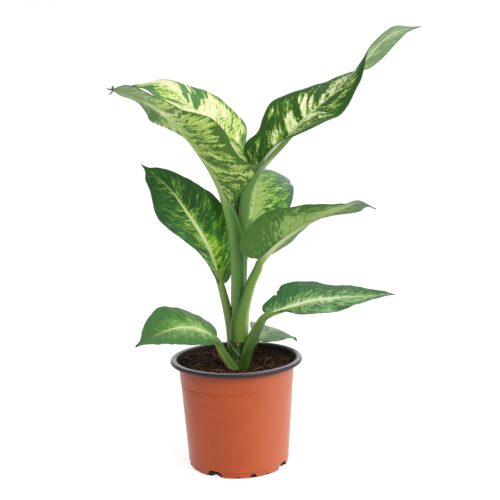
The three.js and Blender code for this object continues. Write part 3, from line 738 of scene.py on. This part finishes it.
def build_leaves():
    for name, leaf in LEAVES.items():
        node = "leaf_" + name
        looks = dict(LOOKS[name])
        below = looks.pop("under", None)
        lean = leaf.get("lean", VEIN_LEAN)
        upper = leaf_material(node + "_upper", lean, **looks)
        looks.update(below or dict(haze=0.3))
        under = leaf_material(node + "_under", lean, under=True, **looks)
        blade_piece(node + "_blade", leaf, upper, under)
        begins = leaf["blade_from"] / (len(leaf["midrib"]) - 1)
        begins /= begins + (1 - begins) * RIB_REACH
        skin = stalk_material(node + "_stalk", begins, **STALKS.get(name, PLAIN_STALK))
        stalk_piece(node + "_stalk", leaf, skin)


def dry_skin(name, scale, dark, light):
    mat, net, shader = material(name, 0.8, 0.2)
    grain = net.noise(net.object_coords(), scale, 3.0)
    coat(net, shader, net.mix(grain, dark, light), grain, 0.0003)
    return mat


# Shrivelled fork at the end of the upper left leaf: where each prong points, and its thickness
PRONGS = [((-5.2, -1, 1.2), 0.8), ((-3.6, 0, -4.4), 0.8), ((0.4, 0, 3.2), 1.3)]


def build_dry_tip():
    mat = dry_skin("dry_tip", 700.0, rgb(0.02, 0.03, 0.02), rgb(0.12, 0.15, 0.09))
    root = np.array(LEAVES["left_top"]["midrib"][-1], float)
    for k, (towards, r) in enumerate(PRONGS, 1):
        def shape(x, y):
            a = 2 * np.pi * x
            along = unit(np.array([towards], float))
            one = unit(np.cross(along, [(0, 1, 0)]))
            two = np.cross(along, one)
            thick = (r * (1 - 0.7 * y) * np.where((y <= 0) | (y >= 1), 0, 1))[:, None]
            bow = 0.5 * np.sin(np.pi * y)[:, None] * one
            return root + [1.2, 0, 0] + y[:, None] * towards + bow + thick * (
                np.cos(a)[:, None] * one + 0.5 * np.sin(a)[:, None] * two)
        prong = sheet_piece("leaf_left_top_dry_%d" % k, 10, 10, shape)
        weld(prong)
        finish_piece(prong, "leaf_left_top", "leaf", mat)


# Pot
def terracotta_plastic():
    mat, net, shader = material("terracotta_plastic", specular=0.3)
    p = net.object_coords()
    cloud = net.noise(p, 22.0, 3.0)
    grain = net.noise(p, 900.0, 2.0)
    color = net.mix(net.step(0.35, 0.7, cloud), rgb(0.4, 0.063, 0.014), rgb(0.46, 0.079, 0.018))
    x, y, z = net.parts(p)
    # Painted sheen: the right side (+X) of the wall is mixed towards a paler terracotta, as where the lamps
    # from the right shine on it
    painted_sheen_right = net.step(0.0, 50 * MM, x)
    color = net.mix(net.times(painted_sheen_right, 0.85), color, rgb(0.5, 0.135, 0.062))
    # Painted shade: the upper left of the wall, below the rim, is darkened
    painted_shade_upper_left = net.times(net.step(55 * MM, 98 * MM, z), net.step(20 * MM, -40 * MM, x))
    color = net.mix(net.times(painted_shade_upper_left, 0.3), color, rgb(0.2, 0.03, 0.008))
    scuff = net.step(0.66, 0.74, net.noise(p, 60.0, 5.0, 0.7))
    color = net.mix(net.times(scuff, 0.3), color, rgb(0.5, 0.25, 0.17))
    flow = net.vector(net.times(x, 20.0), net.times(y, 20.0), net.times(z, 240.0))
    flow = net.noise(flow, 1.0, 4.0, 0.6)
    color = net.mix(net.times(net.step(0.5, 0.8, flow), 0.16), color, rgb(0.3, 0.045, 0.01))
    # Painted shadow: a dark band on the wall just under the rim bead
    painted_rim_shadow = net.step((POT_HEIGHT - 8.9) * MM, (POT_HEIGHT - 6.8) * MM, z)
    color = net.mix(net.times(painted_rim_shadow, 0.65), color, rgb(0.1, 0.02, 0.01))
    net.put(shader.inputs["Roughness"], net.times(cloud, 0.2, 0.22))
    coat(net, shader, color, net.times(grain, 0.2, cloud), 0.0004, 0.5)
    return mat


def black_plastic():
    mat, net, shader = material("black_plastic")
    p = net.object_coords()
    dust = net.step(0.45, 0.75, net.noise(p, 130.0, 4.0, 0.65))
    color = net.mix(net.times(dust, 0.5), rgb(0.036, 0.02, 0.024), rgb(0.13, 0.1, 0.108))
    x, y, z = net.parts(p)
    out = net.vectors("LENGTH", net.vector(x, y, 0.0))["Value"]
    # Painted highlight: a light line along the top edge of the rim
    painted_crest_highlight = net.step((POT_HEIGHT - 0.9) * MM, (POT_HEIGHT - 0.4) * MM, z)
    color = net.mix(net.times(painted_crest_highlight, 0.7), color, rgb(0.3, 0.28, 0.31))
    # Painted shade: the lower part of the rim bead is painted near black, and made rougher
    bead = net.step((POT_HEIGHT - 1) * MM, (POT_HEIGHT - 1.8) * MM, z)
    color = net.mix(bead, color, rgb(0.006, 0.004, 0.008))
    # Painted shade: inside the mouth the black plastic is painted darker still, near black, and rougher
    painted_inner_shade = net.step((MOUTH_RADIUS + 0.2) * MM, (MOUTH_RADIUS - 1) * MM, out)
    color = net.mix(painted_inner_shade, color, rgb(0.006, 0.004, 0.004))
    # Painted shade: below 7 mm, in the drain openings and under the pot, the black plastic is painted
    # brown-black
    painted_foot_shade = net.step(7.5 * MM, 6.5 * MM, z)
    color = net.mix(painted_foot_shade, color, rgb(0.035, 0.008, 0.004))
    dull = net.math("MAXIMUM", painted_foot_shade, net.math("MAXIMUM", painted_inner_shade, net.times(bead, 0.5)))
    net.put(shader.inputs["Roughness"], net.times(dull, 0.7, net.times(dust, 0.12, 0.16)))
    coat(net, shader, color, net.noise(p, 300.0, 3.0), 0.0002, 0.2)
    return mat


def arc(cx, cz, r, start, stop, steps):
    return [(cx + r * math.cos(math.radians(a)), cz + r * math.sin(math.radians(a)))
            for a in np.linspace(start, stop, steps)]


def pot_profile():
    def wall(z, out=0):
        r = WALL_FOOT_RADIUS + (WALL_TOP_RADIUS - WALL_FOOT_RADIUS) * (z - 5) / (POT_HEIGHT - 9.5)
        return (r + out, z)
    under = POT_HEIGHT - 4.5
    outside = [(20, 0), (PANEL_RADIUS, 0), (PANEL_RADIUS + 1, 0.6), (PANEL_RADIUS + 3, RECESS)]
    outside += [(FOOT_RADIUS - 3.4, RECESS), (FOOT_RADIUS - 3.1, RECESS - 0.4), (FOOT_RADIUS - 2.8, 0)]
    outside += [(FOOT_RADIUS - 2.4, 0)] + arc(FOOT_RADIUS - 2, 2.6, 2.6, -80, -20, 4)
    outside += [(WALL_FOOT_RADIUS - 1.2, 4.3), (WALL_FOOT_RADIUS - 1.2, 4.9), (WALL_FOOT_RADIUS - 0.3, 5.2),
                (WALL_FOOT_RADIUS, 5.8)]
    outside += [wall(z, -0.35) for z in np.linspace(8, LEDGE - 1, 14)]
    outside += [wall(LEDGE - 0.6, -GROOVE), wall(LEDGE - 0.2, -GROOVE), wall(LEDGE + 0.2, 0.057)]
    outside += [wall(LEDGE + 1, 0.1), wall(NECK - 4), wall(NECK, -0.05), wall(NECK + 0.7, -0.3)]
    outside += [wall(NECK + 1.4, -0.05)]
    bead = [(WALL_TOP_RADIUS + 0.2, under - 0.8), (WALL_TOP_RADIUS + 1.2, under - 0.2)]
    bead += arc(RIM_RADIUS - BEAD, under + BEAD, BEAD, -80, 75, 9)
    bead += [(RIM_RADIUS - 3, POT_HEIGHT - 0.25), (MOUTH_RADIUS + 1.2, POT_HEIGHT - 0.5)]
    bead += arc(MOUTH_RADIUS + 0.8, POT_HEIGHT - 1.8, 1.2, 100, 180, 5)
    inside = [(MOUTH_RADIUS - 1, POT_HEIGHT - 3.4), (WALL_TOP_RADIUS - WALL, under - 1.5)]
    inside += [wall(z, -WALL - 0.35) for z in np.linspace(90, 11, 12)]
    inside += [(WALL_FOOT_RADIUS - WALL - 0.6, RECESS + 5), (FOOT_RADIUS - 2, RECESS + FLOOR)]
    inside += [(PANEL_RADIUS + 2.2, RECESS + FLOOR), (PANEL_RADIUS - 0.8, FLOOR), (20, FLOOR)]
    return outside + bead + inside


# Half width, height, depth, sides and turn towards the small arch: small arch, slot, wide arch, slot
SLOT = (3, 2.2, 1.8, 20)
DRAIN_SHAPES = [(3.4, 4.2, 1.6, 20, 0), (*SLOT, -5), (9, 7.6, 3, 6, 0), (*SLOT, 5)]


def drain_cutters():
    """One object of lying prisms: wide and small arches by turns, and a shallow slot between"""
    made = []
    for k in range(2 * DRAINS):
        wide, high, inward, sides, turn = DRAIN_SHAPES[k % 4]
        angle = math.radians(DRAIN_FIRST_DEG + 180 / DRAINS * k + turn)
        deselect()
        bpy.ops.mesh.primitive_cylinder_add(vertices=sides, radius=MM, depth=(inward + 4) * MM)
        cutter = bpy.context.object
        cutter.data.transform(Matrix.Rotation(math.pi / 6, 4, "Z"))
        out = Vector((math.sin(angle), -math.cos(angle), 0))
        place = Matrix.Translation(out * (FOOT_RADIUS + 2 - inward / 2) * MM)
        lying = Matrix.Rotation(angle, 4, "Z") @ Matrix.Rotation(math.pi / 2, 4, "X")
        cutter.data.transform(place @ lying @ Matrix.Diagonal((wide, high, 1, 1)))
        made.append(cutter)
    return join(made, "drain_cutters")


def build_pot():
    pot = turned("pot_shell", pot_profile(), 144)
    cutters = drain_cutters()
    apply_modifier(pot, "BOOLEAN", operation="DIFFERENCE", object=cutters, solver="EXACT")
    bpy.data.objects.remove(cutters)
    co = points_of(pot)
    a = np.arctan2(co[:, 1], co[:, 0])
    z = co[:, 2] / (POT_HEIGHT * MM)
    dent = 1 + DENT * np.sin(np.pi * z) * (np.sin(2 * a + 0.6) + 0.6 * np.sin(3 * a + 2))
    co[:, 0] *= dent
    co[:, 1] *= dent
    pot.data.vertices.foreach_set("co", co.ravel())
    pot.data.materials.append(terracotta_plastic())
    pot.data.materials.append(black_plastic())
    for face in pot.data.polygons:
        c, n = face.center, face.normal
        r = math.hypot(c.x, c.y) / MM
        rim = c.z > (POT_HEIGHT - 4.9) * MM or n.z > 0.9
        inside = n.x * c.x + n.y * c.y < 0 or r < FOOT_RADIUS - 1.1
        drain_side = c.z < 7 * MM and abs(n.x * c.y - n.y * c.x) > 0.5 * r * MM
        face.material_index = int(rim or inside or drain_side)
    finish_piece(pot, "pot", "pot_plastic")


# Soil
def soil_height(x, y):
    r = np.hypot(x, y)
    fade = ramp(9, 18, r)
    h = 1.4 * np.sin(x / 7 + 1) * np.cos(y / 6) + np.sin((x + y) / 4.3) + 0.5 * np.cos((x - 2 * y) / 3.1)
    h += 0.5 * np.sin(x / 1.3 + 2 * np.sin(y / 1.7)) + 0.4 * np.cos(y / 1.1 + x / 2.3)
    dish = ramp(15, 48, r) * (SOIL_RISE + 1.2 * np.cos(np.arctan2(y, x) - 2.4))
    return SOIL_LEVEL + dish + 0.55 * h * fade - 1.2 * ramp(SOIL_RADIUS - 1.4, SOIL_RADIUS, r)


def soil_shape(x, y):
    top = np.minimum(y / 0.86, 1)
    side = np.clip((y - 0.86) / 0.1, 0, 1)
    under = np.clip((y - 0.96) / 0.04, 0, 1)
    r = (SOIL_RADIUS - 6 * side) * top * (1 - under)
    a = 2 * np.pi * x
    px, py = r * np.cos(a), r * np.sin(a)
    wall = SOIL_FOOT + (SOIL_LEVEL - SOIL_FOOT) * (1 - side)
    z = np.where(side > 0, wall, soil_height(px, py))
    return np.stack([px, py, z], 1)


def soil_material():
    mat, net, shader = material("potting_mix", 0.95, 0.15)
    p = net.object_coords()
    lumps = net.noise(p, 260.0, 5.0, 0.7)
    color = net.mix(net.step(0.35, 0.62, lumps), rgb(0.006, 0.003, 0.002), rgb(0.05, 0.022, 0.012))
    color = net.mix(net.step(0.62, 0.78, net.noise(p, 700.0, 3.0)), color, rgb(0.14, 0.07, 0.035))
    coat(net, shader, color, net.times(net.noise(p, 1400.0, 3.0), 0.4, lumps), 0.002)
    return mat


def scatter(name, count, skin):
    """Copies of a few small shapes strewn on the soil, joined in one piece"""
    kinds = [crumb() for _ in range(4)]
    copies = []
    for _ in range(count):
        obj = random.choice(kinds).copy()
        obj.data = obj.data.copy()
        bpy.context.collection.objects.link(obj)
        r, a = 49 * math.sqrt(random.uniform(0.05, 1)), random.uniform(0, 2 * math.pi)
        x, y = r * math.cos(a), r * math.sin(a)
        z = float(soil_height(np.array([x]), np.array([y]))[0])
        size = random.uniform(0.5, 1.3)
        place = Matrix.Translation((x * MM, y * MM, (z + 0.1) * MM))
        turn = Matrix.Rotation(random.uniform(0, 6.3), 4, "Z")
        tilt = Matrix.Rotation(random.uniform(-0.5, 0.5), 4, "X")
        obj.data.transform(place @ turn @ tilt @ Matrix.Scale(size, 4))
        copies.append(obj)
    for kind in kinds:
        bpy.data.objects.remove(kind)
    finish_piece(join(copies, name), None, "soil", skin)


def crumb():
    deselect()
    bpy.ops.mesh.primitive_ico_sphere_add(subdivisions=2, radius=CRUMB * MM)
    obj = bpy.context.object
    for v in obj.data.vertices:
        v.co *= random.uniform(0.7, 1.15)
        v.co.z *= 0.7
    return obj


def bark_material():
    mat, net, shader = material("bark_bits", 0.85, 0.2)
    p = net.object_coords()
    tone = net.step(0.35, 0.65, net.noise(p, 160.0, 3.0, 0.7))
    color = net.mix(tone, rgb(0.03, 0.012, 0.006), rgb(0.13, 0.048, 0.018))
    coat(net, shader, color, net.noise(p, 900.0, 3.0), 0.0006)
    return mat


# Root fibres: middle, radius, first and last angle, thickness
FIBRES = [(-36, 6, 14, 100, 175, 0.35), (-32, 9, 19, 20, 95, 0.4), (-20, -22, 9, -40, 60, 0.3),
          (-30, -14, 12, 150, 250, 0.3), (-12, -34, 8, 60, 150, 0.3), (24, -12, 10, -30, 80, 0.3),
          (34, 4, 8, 90, 200, 0.25), (20, -30, 12, 20, 110, 0.35), (30, 22, 9, 200, 300, 0.25),
          (-40, -8, 6, -60, 60, 0.3), (12, -38, 9, 100, 190, 0.35), (-24, 26, 10, 0, 90, 0.25)]


def build_fibres():
    mat, net, shader = material("root_fibre", 0.7, 0.3)
    tone = net.noise(net.object_coords(), 120.0, 2.0)
    net.put(shader.inputs["Base Color"], net.mix(tone, rgb(0.1, 0.045, 0.015), rgb(0.36, 0.2, 0.09)))
    pieces = []
    for cx, cy, radius, start, stop, thick in FIBRES:
        def shape(x, y):
            a, b = np.radians(start + (stop - start) * y), 2 * np.pi * x
            thin = thick * np.sin(np.pi * y) ** 0.3
            r = radius + 0.7 * np.sin(5 * y + cx) + thin * np.cos(b)
            px, py = cx + r * np.cos(a), cy + r * np.sin(a)
            lift = 0.7 + 0.5 * np.sin(7 * y + cy) + thin * np.sin(b)
            return np.stack([px, py, soil_height(px, py) + lift], 1)
        fibre = sheet_piece("root_fibre", 6, 30, shape)
        weld(fibre, 0.01)
        pieces.append(fibre)
    finish_piece(join(pieces, "root_fibres"), None, "soil", mat)


def build_soil():
    mix = soil_material()
    soil = sheet_piece("soil_body", 240, 150, soil_shape)
    weld(soil, 0.01)
    finish_piece(soil, "soil", "soil", mix)
    scatter("soil_crumbs", CRUMBS, mix)
    scatter("bark_crumbs", BARK_BITS, bark_material())
    build_fibres()


# Cane
def build_cane():
    mat, net, shader = material("cane_bark", 0.5, 0.25)
    p = net.object_coords()
    x, _, z = net.parts(p)
    spots = net.noise(p, 240.0, 4.0, 0.6)
    color = net.mix(net.step(0.4, 0.7, spots), rgb(0.03, 0.085, 0.015), rgb(0.06, 0.14, 0.025))
    scar = net.math("ABSOLUTE", net.minus(z, SCAR * MM))
    color = net.mix(net.step(1.6 * MM, 0.4 * MM, scar), color, rgb(0.16, 0.12, 0.05))
    sheath_edge = net.math("ABSOLUTE", net.times(x, 1.2, net.minus(z, SHEATH_EDGE * MM)))
    color = net.mix(net.step(0.9 * MM, 0.4 * MM, sheath_edge), color, rgb(0.3, 0.36, 0.12))
    coat(net, shader, color, spots, 0.0006)
    r = CANE_RADIUS
    cane = turned("cane_bark", [
        (4, CANE_FOOT), (r - 1, CANE_FOOT + 0.5), (r, CANE_FOOT + 2), (r, 90), (r, 95), (r - 0.1, 97.4),
        (r - 0.6, 98.4), (r - 0.4, 99.6), (r - 0.3, 106), (r - 0.4, 109.5), (r - 0.8, 110.5),
        (r - 0.5, 111.5), (r - 0.4, CANE_TOP - 1), (r - 1, CANE_TOP), (3, CANE_TOP)], 48)
    cane.data.transform(Matrix.Translation((CANE_X * MM, 0, 0)))
    finish_piece(cane, "cane", "cane", mat)
    build_bract()


def build_bract():
    """Small dry scale on the collar, pointing down"""
    mat = dry_skin("dry_bract", 500.0, rgb(0.1, 0.07, 0.03), rgb(0.3, 0.25, 0.12))

    def shape(x, y):
        a = np.radians(-84 + (2 * x - 1) * 17 * (1 - y) ** 0.7)
        r = CANE_RADIUS + 0.4 + 1.2 * y
        z = CANE_TOP + 0.5 - 4.5 * y + 0.8 * np.abs(2 * x - 1)
        return np.stack([CANE_X + r * np.cos(a), r * np.sin(a), z], 1)
    bract = sheet_piece("cane_bract", 8, 10, shape)
    apply_modifier(bract, "SOLIDIFY", thickness=0.5 * MM, offset=0)
    finish_piece(bract, None, "cane", mat)


# Camera, floor and light
CAMERA_AT = (15.13, -850.0, 322.55)
CAMERA_PITCH_DEG = 8.243
CAMERA_ROLL_DEG = -1.423
CAMERA_FOCAL_PX = 946.9
FRAME_PX = 500
SENSOR = 36
LIGHTS = [("key", (0.62, -0.85, 0.75), 40, 1.5), ("fill", (-0.9, -0.7, 0.6), 80, 0.3),
          ("side", (1, -0.25, 0.3), 50, 0.5)]


def build_studio():
    scene = bpy.context.scene
    camera = bpy.data.cameras.new("camera")
    camera.sensor_width = SENSOR
    camera.lens = CAMERA_FOCAL_PX * SENSOR / FRAME_PX
    camera.clip_end = 20
    obj = bpy.data.objects.new("camera", camera)
    scene.collection.objects.link(obj)
    tilt = Matrix.Rotation(math.radians(90 - CAMERA_PITCH_DEG), 4, "X")
    roll = Matrix.Rotation(math.radians(CAMERA_ROLL_DEG), 4, "Z")
    obj.matrix_world = Matrix.Translation(Vector(CAMERA_AT) * MM) @ tilt @ roll
    scene.camera = obj
    for name, towards, angle, strength in LIGHTS:
        light = bpy.data.lights.new(name, "SUN")
        light.angle, light.energy = math.radians(angle), strength
        lamp = bpy.data.objects.new(name, light)
        scene.collection.objects.link(lamp)
        lamp.rotation_euler = Vector(towards).to_track_quat("Z", "Y").to_euler()
    studio_surround()
    scene.view_settings.view_transform = "Standard"
    deselect()
    bpy.ops.mesh.primitive_plane_add(size=30)
    floor = bpy.context.object
    floor.name = "floor"
    mat, net, shader = material("floor_white", 0.9)
    net.put(shader.inputs["Base Color"], rgb(0.32, 0.32, 0.32))
    net.put(shader.inputs["Emission Color"], rgb(1, 1, 1))
    net.put(shader.inputs["Emission Strength"], 0.78)
    floor.data.materials.append(mat)


def studio_surround():
    """White backdrop and sides, with a darker room behind the camera"""
    world = bpy.data.worlds.new("studio")
    world.use_nodes = True
    bpy.context.scene.world = world
    net = Net(world.node_tree)
    background = world.node_tree.nodes["Background"]
    towards = net.node("TexCoord").outputs["Generated"]
    bright = net.vectors("DOT_PRODUCT", towards, (0.62, 0.62, 0.48))["Value"]
    level = net.times(net.step(-0.5, 0.8, bright), 0.8, 0.22)
    seen = net.node("LightPath").outputs["Is Camera Ray"]
    net.put(background.inputs["Strength"], net.math("MAXIMUM", level, seen))
    background.inputs["Color"].default_value = rgb(1, 1, 1)


build_pot()
build_soil()
build_cane()
build_leaves()
build_dry_tip()
build_studio()
